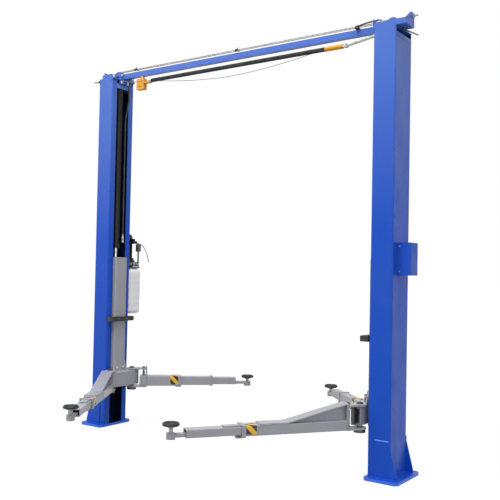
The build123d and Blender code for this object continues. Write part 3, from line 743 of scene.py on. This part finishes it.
def port_fittings(post):
    """The collar, nut and sleeve where the hose meets the cylinder."""
    fittings = bmesh.new()
    port = Vector((post.sign * (post.inner - 0.010), HOSE_Y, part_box("hydraulic_hose")[0].z))
    nut = 0.018
    lathe(fittings, port - Vector((0, 0, 0.036)), UP,
          [(0.0112, 0), (0.0122, 0), (0.0122, 0.030), (0.0112, 0.030)])
    hex_head(fittings, port, UP, 0.025, nut)
    lathe(fittings, port + Vector((0, 0, nut)), UP,
          [(0.0072, 0), (0.0095, 0), (0.0095, 0.026), (0.0072, 0.026)])
    post.add("port_fittings", fittings, "dark_steel", zinc)


def sheave_pin_ends(post):
    """The heads at both ends of the sheave's pin."""
    pin = bmesh.new()
    sheave = middle(f"{post.side}_top_sheave")
    outline = [(0.0165, 0), (0.0165, 0.002), (0.015, 0.003), (0.0095, 0.003), (0.0095, 0.0055)]
    for out in (-1, 1):
        solid(pin, sheave + Vector((0, out * 0.041, 0)), (0, out, 0), outline)
    post.add("sheave_pin_ends", pin, "dark_steel")


def dress_carriage(side):
    """The welds and bolts of the arm bracket, and the door bumper's screws."""
    sign = SIGN[side]
    body = f"{side}_carriage"
    face = sign * span(f"{side}_carriage_column")[0]
    plate = face - sign * GUSSET_THICK
    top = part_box(f"{side}_arm_bracket")[1].z - GUSSET_HEIGHT
    beads = bmesh.new()
    weld(beads, [(face, -GUSSET_FOOT, top), (face, GUSSET_FOOT, top)])
    weld(beads, [(plate, -GUSSET_FOOT, top + 0.001), (plate, GUSSET_FOOT, top + 0.001)])
    for out in (-1, 1):
        weld(beads, [(face, out * GUSSET_FOOT, top),
                     (face, out * GUSSET_TIP, top + GUSSET_HEIGHT - 0.002)], THIN_BEAD)
    piece(f"{side}_bracket_welds", beads, body, "grey_paint")
    heads = bmesh.new()
    for y in (-0.040, 0.040):
        bolt(heads, (plate, y, top + 0.030), (-sign, 0, 0), *BRACKET_BOLT)
    piece(f"{side}_bracket_bolts", heads, body, "dark_steel", bolt_steel)
    front = sign * span(f"{side}_door_bumper")[0]
    screws = bmesh.new()
    for y in (-0.055, 0.055):
        place = (front, y, middle(f"{side}_door_bumper").z)
        button(screws, place, (-sign, 0, 0), 0.009, 0.004)
    piece(f"{side}_bumper_screws", screws, body, "dark_steel")


def dress_pins(side):
    """The centres and spring rings of the arm pins, and the bushes that the pins go through."""
    body = f"{side}_carriage"
    x = middle(f"{side}_arm_pins").x
    rings = bmesh.new()
    bushes = bmesh.new()
    for y in (-PIN_Y, PIN_Y):
        solid(rings, (x, y, ROOT_TOP), UP,
              [(0.0185, 0), (0.0175, 0.001), (0.006, 0.001), (0.005, -0.002)])
        lathe(rings, (x, y, FORK_TOP), UP,
              [(0.0205, 0), (0.0275, 0), (0.0275, 0.0035), (0.0265, 0.0045), (0.0205, 0.0045)])
        for low, high in ((0.009, 0.019), (0.125, 0.135)):
            lathe(bushes, (x, y, BRACKET_LOW), UP,
                  [(0.0202, low), (0.027, low), (0.027, high), (0.0202, high)], 32)
    piece(f"{side}_pin_rings", rings, body, "dark_steel")
    piece(f"{side}_pin_bushes", bushes, body, "grey_paint")


def arm_welds(side, end):
    """The beads at the arm's root, along its sloping web and flange, and at its collar."""
    half = TUBE_WIDTH[end] / 2
    floor = TUBE_FLOOR[end]
    top = floor + TUBE_HEIGHT[end]
    root, start = ROOT[end], ROOT[end] + ROOT_THICK
    beads = bmesh.new()
    weld(beads, [(start, -half, floor + 0.004), (start, -half, top), (start, half, top),
                 (start, half, floor + 0.004)])
    for z in (FORK_FLOOR + FORK_PLATE, FORK_TOP - FORK_PLATE, FORK_TOP):
        weld(beads, [(root, 0.006 - half, z), (root, half - 0.006, z)], THIN_BEAD)
    if end == "front":
        collar = TUBE_TIP[end] - COLLAR
        for y in (-WEB_HALF, WEB_HALF):
            weld(beads, [(start + 0.002, y, top), (SLOPE_END, y, top)], THIN_BEAD)
        for y in (-half, half):
            for near, far in ((0.612, 0.700), (0.745, FLANGE_END)):
                weld(beads, [(near, y, top), (far, y, top)], FINE_BEAD)
            weld(beads, [(collar, y, floor + 0.006), (collar, y, top - 0.006)], FINE_BEAD)
        weld(beads, [(FLANGE_END, 0.008 - half, top), (FLANGE_END, half - 0.008, top)], THIN_BEAD)
    piece(f"{side}_{end}_arm_welds", beads, f"{side}_{end}_arm_body", "grey_paint",
          place=arm_frame(side, end))


def release_spring(side, end):
    """The coil spring and knob of the arm restraint's release."""
    spring = bmesh.new()
    rod = ROOT[end] - 0.022
    helix(spring, rod, 0.0145, FORK_FLOOR + 0.016, FORK_FLOOR + 0.150, 11, 14, 0.0019)
    solid(spring, (rod, 0, FORK_TOP), UP, [(0.016, 0), (0.016, 0.006), (0.012, 0.010),
                                           (0.008, 0.010), (0.007, 0.014)])
    piece(f"{side}_{end}_release_spring", spring, f"{side}_{end}_arm_body", "dark_steel",
          place=arm_frame(side, end))


def arm_label(side, end):
    """The hazard label that is folded over the tube near its tip."""
    half = TUBE_WIDTH[end] / 2
    low = TUBE_FLOOR[end] + LABEL_RISE
    top = TUBE_FLOOR[end] + TUBE_HEIGHT[end]
    gap, corner = 0.0004, 0.006
    fold = corner + gap
    right_bend = [(half - corner + fold * cos(t), top - corner + fold * sin(t))
                  for t in map(radians, (0, 30, 60, 90))]
    left_bend = [(-y, z) for y, z in reversed(right_bend)]
    section = [(half + gap, low), *right_bend, *left_bend, (-half - gap, low)]
    last = TUBE_TIP[end] - (COLLAR + 0.004 if end == "front" else 0.030)
    label = bmesh.new()
    ribbon(label, section, last - LABEL_LENGTH, last, 0.0005)
    lean = -SIGN[side]
    shown = -1 if (side, end) == ("left", "rear") else 1
    centre = last - LABEL_LENGTH / 2 + lean * (low + top) / 2 + shown * half
    finish = hazard_label(f"{side}_{end}_label", lean, centre)
    piece(f"{side}_{end}_hazard_label", label, f"{side}_{end}_arm_body", "yellow_paint", finish,
          arm_frame(side, end))


def dress_pad(side, end):
    """The pad's moulded ribs, and the screw's thread and cone below it."""
    body = f"{side}_{end}_pad_body"
    lowest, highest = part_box(f"{side}_{end}_pad")
    centre = (lowest + highest) / 2
    radius = (highest.x - lowest.x) / 2
    top_half, rim_half = 0.0030, 0.0024
    ribs = bmesh.new()
    crown(ribs, (0, 0, 0), 36, [
        ((0.0445, -top_half, highest.z - 0.001),
         (radius - 0.0045, top_half, highest.z + 0.0030), 0.0008),
        ((radius - 0.002, -rim_half, lowest.z + 0.0045),
         (radius + 0.0012, rim_half, highest.z - 0.0045), 0.0006),
    ])
    place = Matrix.Translation((centre.x, centre.y, 0))
    piece(f"{side}_{end}_pad_ribs", ribs, body, "rubber", place=place)
    thread = bmesh.new()
    low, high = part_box(f"{side}_{end}_pad_screw")[0].z + 0.004, highest.z - 0.030
    helix(thread, 0, 0.0138, low, high, int((high - low) / 0.005), 18, 0.0014)
    piece(f"{side}_{end}_pad_thread", thread, body, "dark_steel", zinc, place)
    cone = bmesh.new()
    solid(cone, (0, 0, highest.z - 0.026), (0, 0, -1),
          [(0.037, 0), (0.030, 0.004), (0.0165, 0.010)], 32)
    piece(f"{side}_{end}_pad_cone", cone, body, "dark_steel", zinc, place)


def dress_cover():
    """The screws of the lock cover, and the bead that seals it to the post."""
    lowest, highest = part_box("right_lock_cover")
    screws = bmesh.new()
    for y, out in ((lowest.y, -1), (highest.y, 1)):
        for z in (lowest.z + 0.030, highest.z - 0.030):
            button(screws, (lowest.x + 0.020, y, z), (0, out, 0), 0.006, 0.0035)
    piece("right_cover_screws", screws, "frame", "dark_steel", bolt_steel)
    seal = bmesh.new()
    weld(seal, [(lowest.x, lowest.y, lowest.z), (lowest.x, lowest.y, highest.z),
                (lowest.x, highest.y, highest.z), (lowest.x, highest.y, lowest.z)],
         radius=0.002, closed=True)
    piece("right_cover_seal", seal, "frame", "rubber")


def cable_ties():
    """The ties that hold the level cables together over the beam, each with its loose tail."""
    for name, x in (("left", -1.234), ("middle", 0.010)):
        tie = bmesh.new()
        place = Vector((x, 0, CABLE_HEIGHT))
        hoop(tie, place, 0.023, 0.0085, 0.0032, 28)
        block(tie, *trail(place, (-0.012, -0.034, -0.016), (0.014, -0.020, 0.003)))
        sweep(tie, trail(place, (0, -0.026, 0), (0.014, -0.027, 0.010), (0.026, -0.027, 0.012)),
              0.0030, 6)
        piece(f"{name}_cable_tie", tie, "frame", "rubber")


def hose_end():
    """The short hose that ends over the right end of the beam, on its elbow fitting."""
    place = Vector((span("right_post")[0] + 0.042, -0.064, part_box("right_post")[1].z + CAP_THICK))
    thick = 0.0065
    fitting = bmesh.new()
    solid(fitting, place, UP, [(0.013, 0), (0.013, 0.010), (0.008, 0.012), (0.008, 0.060)])
    for rise in (0.056, 0.012):
        hex_head(fitting, place + Vector((0, 0, rise)), UP, 0.022, 0.012)
    elbow = trail(place, (0, 0, 0.066), (0, 0, 0.074), (-0.005, 0.001, 0.081),
                  (-0.013, 0.002, 0.084), (-0.024, 0.003, 0.086))
    sweep(fitting, elbow, thick, 12)
    hex_head(fitting, place + Vector((-0.018, 0.003, 0.085)), (-1, 0, 0), 0.019, 0.016)
    piece("hose_end_fitting", fitting, "frame", "bar_steel", bolt_steel)
    hose = bmesh.new()
    run = trail(place, (-0.030, 0.004, 0.087), (-0.075, 0.014, 0.089), (-0.145, 0.019, 0.088),
                (-0.197, 0.019, 0.081), (-0.237, 0.019, 0.072))
    sweep(hose, run, thick, 12)
    solid(hose, place + Vector((-0.222, 0.019, 0.0755)), Vector((-1, 0, -0.22)).normalized(),
          [(0.0095, 0), (0.0095, 0.012), (0.0115, 0.014), (0.0115, 0.030)], 14)
    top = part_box("overhead_beam")[1].z
    block(hose, (place.x - 0.258, place.y + 0.006, top - 0.0005),
          (place.x - 0.226, place.y + 0.056, top + 0.0115))
    piece("hose_end", hose, "frame", "hose_rubber")


def rounded_ring(mesh, centre, half_x, half_y, radius, steps=7):
    """One level ring of points round a rectangle with rounded corners."""
    ring = []
    for k, (sx, sy) in enumerate(((1, 1), (-1, 1), (-1, -1), (1, -1))):
        for i in range(steps + 1):
            t = pi / 2 * (k + i / steps)
            across = sx * (half_x - radius) + radius * cos(t)
            along = sy * (half_y - radius) + radius * sin(t)
            ring.append(mesh.verts.new(centre + Vector((across, along, 0))))
    return ring


def dress_tank():
    """The milky tank: rounded shoulders, a wall with shallow ripples and a filler cap."""
    lowest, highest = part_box("power_unit_tank")
    centre = (lowest + highest) / 2
    half = (highest - lowest) / 2
    tall = 2 * half.z
    mesh = bmesh.new()
    rings = []
    count = 120
    for i in range(count + 1):
        height = tall * i / count
        rise = min(height / TANK_ROUND, (tall - height) / (1.4 * TANK_ROUND), 1)
        inset = TANK_ROUND * (1 - sqrt(1 - (1 - rise) ** 2))
        corner = TANK_CORNER - inset / 2
        if rise == 1 and height < RIPPLE_TOP:
            inset += RIPPLE_DEPTH * (1 - cos(2 * pi * (height - TANK_ROUND) / RIPPLE)) / 2
        place = Vector((centre.x, centre.y, lowest.z + height))
        rings.append(rounded_ring(mesh, place, half.x - inset, half.y - inset, corner))
    skin(mesh, rings)
    shell = piece("tank_shell", mesh, "frame", "white_plastic", angle=60)
    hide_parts("power_unit_tank")
    cap = bmesh.new()
    solid(cap, (centre.x - 0.060, centre.y + 0.045, highest.z - 0.004), UP,
          [(0.021, 0), (0.023, 0.004), (0.023, 0.022), (0.020, 0.026)], 28)
    piece("tank_filler_cap", cap, "frame", "black_paint")


def dress_motor():
    """The finned motor on its bell, with its fan cowl and terminal box."""
    lowest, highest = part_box("power_unit_motor")
    seat = Vector((middle("power_unit_motor").x, middle("power_unit_motor").y, lowest.z))
    foot = seat + Vector((-0.012, -0.012, 0))
    height = highest.z - lowest.z
    body = bmesh.new()
    solid(body, foot, UP, [(0.050, 0), (0.050, 0.014), (0.044, 0.016), (0.044, 0.206),
                           (0.050, 0.208), (0.050, 0.252), (0.046, 0.266), (0.036, height)], 40)
    crown(body, foot, 26, [((0.043, -0.0015, 0.018), (0.0495, 0.0015, 0.204), 0.0005)])
    solid(body, seat, UP, [(0.0615, 0), (0.0615, 0.010), (0.054, 0.014), (0.046, 0.040)], 36)
    shell = piece("motor_shell", body, "frame", "black_paint")
    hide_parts("power_unit_motor")
    terminal = bmesh.new()
    for corners in (((0.046, -0.030, 0.186), (0.116, 0.026, 0.214)),
                    ((0.062, -0.018, 0.213), (0.096, 0.014, 0.238))):
        block(terminal, *trail(foot, *corners), 0.004)
    piece("motor_terminal_box", terminal, "frame", "black_paint")


def valve_coil():
    """The lowering valve's coil on its stem, with the nut on top."""
    lowest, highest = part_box("power_unit_valve")
    centre = (lowest + highest) / 2
    top = Vector((centre.x, centre.y, highest.z))
    stem = highest.z - lowest.z - 0.086
    coil = bmesh.new()
    block(coil, *trail(top, (-0.020, -0.020, -0.088), (0.020, 0.020, -0.010)), 0.004)
    solid(coil, top - Vector((0, 0, 0.012)), UP, [(0.012, 0), (0.012, 0.012)])
    solid(coil, (centre.x, centre.y, lowest.z), UP,
          [(0.013, 0), (0.013, 0.020), (0.0085, 0.024), (0.0085, stem)])
    shell = piece("valve_coil", coil, "frame", "dark_steel", coil_shell)
    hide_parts("power_unit_valve")


def pump_ports():
    """The plugs and ports on the pump, a manifold strip and a bent pipe between them."""
    centre = middle("power_unit_valve")
    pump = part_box("power_unit_pump")
    ports = bmesh.new()
    for dx, dz in ((-0.045, 0.040), (-0.110, 0.044)):
        place = (centre.x + dx, centre.y - 0.124, pump[0].z + dz)
        hex_head(ports, place, (0, -1, 0), 0.024, 0.014)
    for dy in (-0.114, -0.059, -0.019):
        place = Vector((centre.x - 0.010, centre.y + dy, pump[0].z + 0.042))
        hex_head(ports, place, (1, 0, 0), 0.026, 0.016)
        solid(ports, place + Vector((0.014, 0, 0)), (1, 0, 0), [(0.008, 0), (0.008, 0.010)])
    wall = Vector((pump[1].x, centre.y, pump[0].z))
    block(ports, *trail(wall, (-0.001, -0.100, 0.010), (0.011, -0.004, 0.026)))
    pipe = trail(wall, (0.006, -0.108, 0.052), (0.010, -0.080, 0.056), (0.010, -0.050, 0.050),
                 (0.006, -0.020, 0.034), (0.004, -0.012, 0.022))
    sweep(ports, pipe, 0.0045, 10)
    piece("pump_ports", ports, "frame", "dark_steel", zinc)


def valve_lead():
    """The coil's loose lead, which hangs behind the unit and ends in a connector."""
    centre = middle("power_unit_valve")
    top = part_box("power_unit_valve")[1].z
    exit_place = Vector((centre.x, centre.y + 0.020, top - 0.014))
    route = trail(
        exit_place,
        (0, 0, 0),
        (0, 0.018, 0),
        (0.004, 0.046, -0.012),
        (0.009, 0.070, -0.046),
        (0.015, 0.090, -0.090),
        (0.020, 0.104, -0.130),
        (0.023, 0.110, -0.164),
    )
    lead = wire("valve_lead", route, 0.0035, "frame", "hose_rubber", wire_skin)
    plug = bmesh.new()
    solid(plug, exit_place + Vector((0.0228, 0.1096, -0.162)), (0.09, 0.17, -0.98),
          [(0.0052, 0), (0.0052, 0.012), (0.0034, 0.016)], 14)
    solid(plug, exit_place - Vector((0, 0.001, 0)), (0, 1, 0),
          [(0.0085, 0), (0.0080, 0.006), (0.0045, 0.023)], 14)
    connector = piece("valve_lead_end", plug, "frame", "rubber")


def dress_bar():
    """The thin cord that hangs under the foam, tied to it at both ends."""
    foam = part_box("limit_bar_foam")
    y = (foam[0].y + foam[1].y) / 2
    z = foam[0].z
    sags = ((0.100, -0.001), (0.200, 0.014), (0.400, 0.039), (0.650, 0.061), (0.950, 0.074),
            (1.250, 0.061), (1.500, 0.039), (1.700, 0.014), (1.800, -0.001))
    route = [(foam[0].x + along, y, z - sag) for along, sag in sags]
    cord = wire("bar_cord", route, 0.0022, "limit_bar_body", "hose_rubber", wire_skin)
    ends = bmesh.new()
    radius = (foam[1].z - z) / 2
    for x in (route[0][0], route[-1][0]):
        hoop(ends, (x, y, z + radius), radius, radius, 0.0022, 30)
    tie = piece("bar_cord_ties", ends, "limit_bar_body", "rubber")


def dress_switch():
    """The limit switch's screws and lid seams, and the lead to the beam's end plate."""
    lowest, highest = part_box("limit_switch")
    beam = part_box("overhead_beam")
    low, high = lowest.z, beam[1].z - BEAM_SIZE - BEAM_LIFT
    left, right = lowest.x, lowest.x + SWITCH_LENGTH
    front = lowest.y
    screws = bmesh.new()
    edge, back_bead, lid_bead = 0.014, 0.0014, 0.0012
    for x in (left + edge, right - edge):
        for z in (low + edge, high - edge):
            button(screws, (x, front, z), (0, -1, 0), 0.0048, 0.003)
    piece("switch_screws", screws, "frame", "dark_steel", bolt_steel)
    seams = bmesh.new()
    back = front + 0.016
    weld(seams, [(left + 0.004, back, low), (left, back, low + 0.006), (left, back, high - 0.006),
                 (left + 0.004, back, high)], back_bead)
    for z in (low + 0.030, high - 0.026):
        weld(seams, [(left + 0.006, front, z), (right - 0.006, front, z)], lid_bead)
    piece("switch_seams", seams, "frame", "rubber")
    plate = beam[0].x
    y = (lowest.y + highest.y) / 2
    start = Vector((left - 0.012, y, high - 0.018))
    end = Vector((plate + 0.020, y, high + 0.010))
    sags = ((0.25, 0.005), (0.55, 0.007), (0.80, 0.004))
    route = [start, *[start.lerp(end, share) - Vector((0, 0, sag)) for share, sag in sags], end]
    lead = wire("switch_lead", route, 0.0035, "frame", "hose_rubber", pale_skin)
    glands = bmesh.new()
    outline = [(0.008, 0), (0.008, 0.005), (0.0062, 0.006), (0.0062, 0.015)]
    solid(glands, start + Vector((0.013, 0, 0)), (-1, 0, 0), outline, 16)
    solid(glands, end - Vector((0.013, 0, 0)), (1, 0, 0), outline, 16)
    ends = piece("switch_lead_glands", glands, "frame", "rubber", zinc)


for side in SIGN:
    post = Post(side)
    for dress in (foot_welds, cap_bolts, release_studs, post_strips, cap_stub, cap_lugs,
                  port_fittings, sheave_pin_ends):
        dress(post)
    for dress in (dress_carriage, dress_pins):
        dress(side)
    for end in ENDS:
        for dress in (arm_welds, release_spring, arm_label, dress_pad):
            dress(side, end)
for dress in (dress_cover, cable_ties, hose_end, dress_tank, dress_motor, valve_coil, pump_ports,
              valve_lead, dress_bar, dress_switch):
    dress()


# The stage: a pale floor and backdrop, soft lamps and the photograph's camera
def seen_directly(tree):
    """1 for what the camera sees, straight, in gloss or through glass, and otherwise 0."""
    path = tree.nodes.new("ShaderNodeLightPath")
    share = path.outputs["Is Camera Ray"]
    for other in ("Is Glossy Ray", "Is Transmission Ray"):
        either = tree.nodes.new("ShaderNodeMath")
        either.operation = "MAXIMUM"
        tree.links.new(share, either.inputs[0])
        tree.links.new(path.outputs[other], either.inputs[1])
        share = either.outputs[0]
    return share


def floor(size=60, low_share=0.84, near=2.2, far=6.0, glow_strength=1.06):
    """A pale floor that keeps the object's shadow and turns as white as the sky further out."""
    mesh = bmesh.new()
    bmesh.ops.create_grid(mesh, x_segments=1, y_segments=1, size=size)
    data = bpy.data.meshes.new("floor")
    mesh.to_mesh(data)
    mesh.free()
    plane = add_object("floor", data)
    finish = Finish("floor")
    tree = finish.material.node_tree
    seen = seen_directly(tree)
    finish.set("Roughness", 0.9)
    finish.set("Base Color", finish.mix(seen, (150, 150, 152), (250, 250, 250)))
    reach = tree.nodes.new("ShaderNodeVectorMath")
    reach.operation = "LENGTH"
    tree.links.new(finish.place, reach.inputs[0])
    fade = finish.spread(reach.outputs["Value"], low_share, 1.0, near, far)
    glow = tree.nodes.new("ShaderNodeEmission")
    glow.inputs["Strength"].default_value = glow_strength
    blend = tree.nodes.new("ShaderNodeMixShader")
    tree.links.new(finish.math("MULTIPLY", seen, fade), blend.inputs["Fac"])
    tree.links.new(finish.shader.outputs[0], blend.inputs[1])
    tree.links.new(glow.outputs[0], blend.inputs[2])
    tree.links.new(blend.outputs[0], tree.nodes["Material Output"].inputs["Surface"])
    data.materials.append(finish.material)


def sky():
    """White behind the object, in its gloss and through it, and a plain grey light on it."""
    world = bpy.data.worlds.new("studio")
    bpy.context.scene.world = world
    world.use_nodes = True
    strength = world.node_tree.nodes.new("ShaderNodeMapRange")
    strength.inputs["To Min"].default_value = WORLD_LIGHT
    strength.inputs["To Max"].default_value = 1.0
    world.node_tree.links.new(seen_directly(world.node_tree), strength.inputs["Value"])
    background = world.node_tree.nodes["Background"]
    background.inputs["Color"].default_value = (1, 1, 1, 1)
    world.node_tree.links.new(strength.outputs["Result"], background.inputs["Strength"])


def lamp(name, place, target, size, watts):
    """A square soft lamp that looks at the target."""
    data = bpy.data.lights.new(name, "AREA")
    data.size = size
    data.energy = watts
    made = add_object(name, data)
    made.location = place
    made.rotation_euler = (Vector(target) - Vector(place)).to_track_quat("-Z", "Y").to_euler()


def camera():
    """Stands where the photograph was taken, found by fitting the posts, beam and arms."""
    place = Vector((3.9432, -5.3128, 1.5680))
    yaw, pitch, roll = radians(35.261), radians(1.565), radians(1.126)
    data = bpy.data.cameras.new("camera")
    data.sensor_width = 36
    data.lens = 53.2
    turn = Matrix.Rotation(yaw, 4, "Z") @ Matrix.Rotation(radians(90) + pitch, 4, "X")
    made = add_object("camera", data)
    made.matrix_world = Matrix.Translation(place) @ turn @ Matrix.Rotation(roll, 4, "Z")
    bpy.context.scene.camera = made


floor()
sky()
lamp("key", (0.5, -3.0, 8.5), (0, 0, 1.2), 6.0, 560)
lamp("fill", (-5.0, -6.0, 3.5), (0, 0, 1.6), 4.0, 110)
lamp("side", (6.5, -3.0, 2.6), (0, 0, 1.0), 4.0, 75)
camera()
bpy.context.scene.view_settings.view_transform = "Standard"
